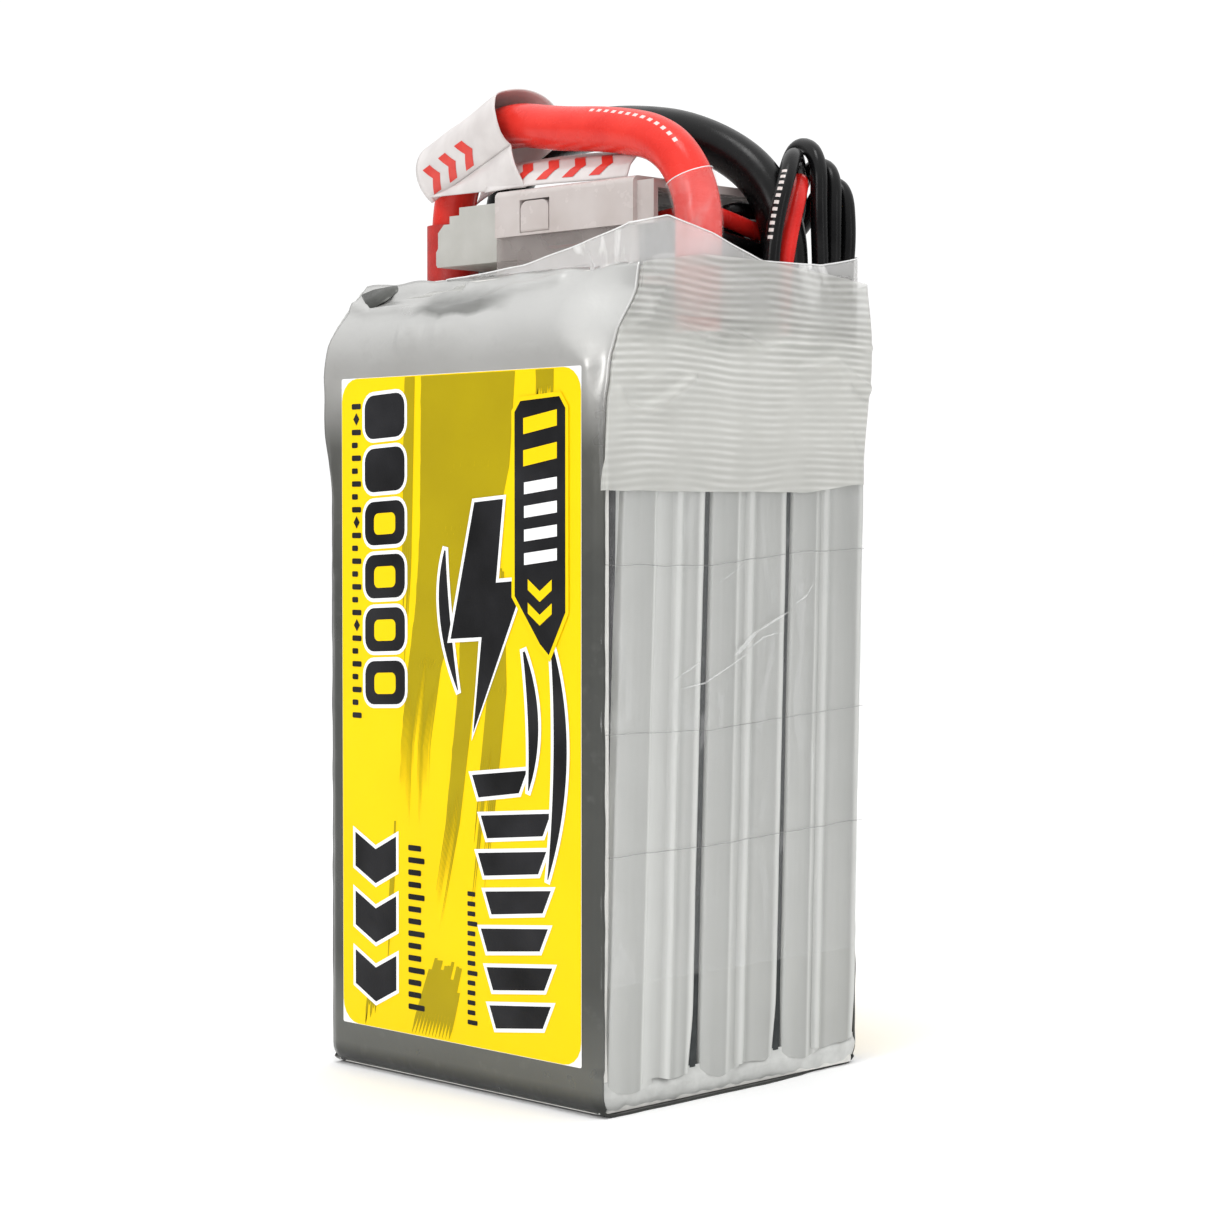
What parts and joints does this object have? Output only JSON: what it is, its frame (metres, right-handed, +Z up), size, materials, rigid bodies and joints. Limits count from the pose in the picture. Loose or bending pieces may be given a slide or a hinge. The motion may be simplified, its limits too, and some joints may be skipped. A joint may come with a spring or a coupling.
{
  "type": "lipo battery pack",
  "caption": "Soft-pack lithium polymer battery, upright, with two main leads to a plug, a fine balance lead in a two-part plastic clip and a rolled pull tag.",
  "frame": {"origin": "centre of the bottom face of the pack body, on the surface it stands on", "axes": "+Z up towards the leads, -Y out of the main labelled face, +X towards the face the leads rise beside"},
  "size_m": [0.0479, 0.0384, 0.0997],
  "materials": {
    "label_print": "satin",
    "label_rear": "satin",
    "cover_foil": "satin",
    "pouch_foil": "satin",
    "electrodes": "matte",
    "tab_metal": "satin",
    "tab_nickel": "satin",
    "adhesive": "matte",
    "card": "matte",
    "board": "satin",
    "solder": "satin",
    "foam": "matte",
    "clear_film": "gloss",
    "fibre_tape": "satin",
    "red_silicone": "satin",
    "black_silicone": "satin",
    "red_shrink": "satin",
    "black_shrink": "satin",
    "main_plug_body": "satin",
    "gold_contacts": "satin",
    "balance_plug_body": "satin",
    "tin_contacts": "satin",
    "clip_plastic": "satin",
    "tag_film": "satin"
  },
  "bodies": {
    "pack": {"front_label": "label_print", "rear_label": "label_rear", "cover_sheet": "cover_foil", "pouch_cell_1": "pouch_foil", "pouch_cell_2": "pouch_foil", "pouch_cell_3": "pouch_foil", "pouch_cell_4": "pouch_foil", "pouch_cell_5": "pouch_foil", "pouch_cell_6": "pouch_foil", "electrode_stack_1": "electrodes", "electrode_stack_2": "electrodes", "electrode_stack_3": "electrodes", "electrode_stack_4": "electrodes", "electrode_stack_5": "electrodes", "electrode_stack_6": "electrodes", "positive_tabs": "tab_metal", "negative_tabs": "tab_nickel", "cell_adhesive": "adhesive", "front_board": "card", "bottom_pad": "card", "balance_board": "board", "solder_joints": "solder", "top_foam": "foam", "top_insulator": "card", "clear_wrap": "clear_film", "clear_collar": "clear_film", "fibre_tape": "fibre_tape", "red_lead": "red_silicone", "black_lead": "black_silicone", "red_lead_sleeve": "clear_film", "red_heat_shrink": "red_shrink", "black_heat_shrink": "black_shrink", "main_plug_housing": "main_plug_body", "main_plug_contacts": "gold_contacts", "balance_wire_1": "black_silicone", "balance_wire_2": "red_silicone", "balance_wire_3": "black_silicone", "balance_wire_4": "black_silicone", "balance_wire_5": "black_silicone", "balance_wire_6": "black_silicone", "balance_wire_7": "black_silicone", "balance_plug_housing": "balance_plug_body", "balance_plug_contacts": "tin_contacts", "clip_upper_half": "clip_plastic", "clip_lower_half": "clip_plastic", "pull_tag": "tag_film"},
    "latch": {"clip_latch": "clip_plastic"}
  },
  "joints": [
    {"name": "clip_latch_flex", "type": "hinge", "parent": "pack", "child": "latch", "pos_m": [-0.0042, -0.00445, 0.0842], "axis": [1, 0, 0], "range_deg": [0, 15], "stiffness_Nm_per_rad": 0.002}
  ]
}
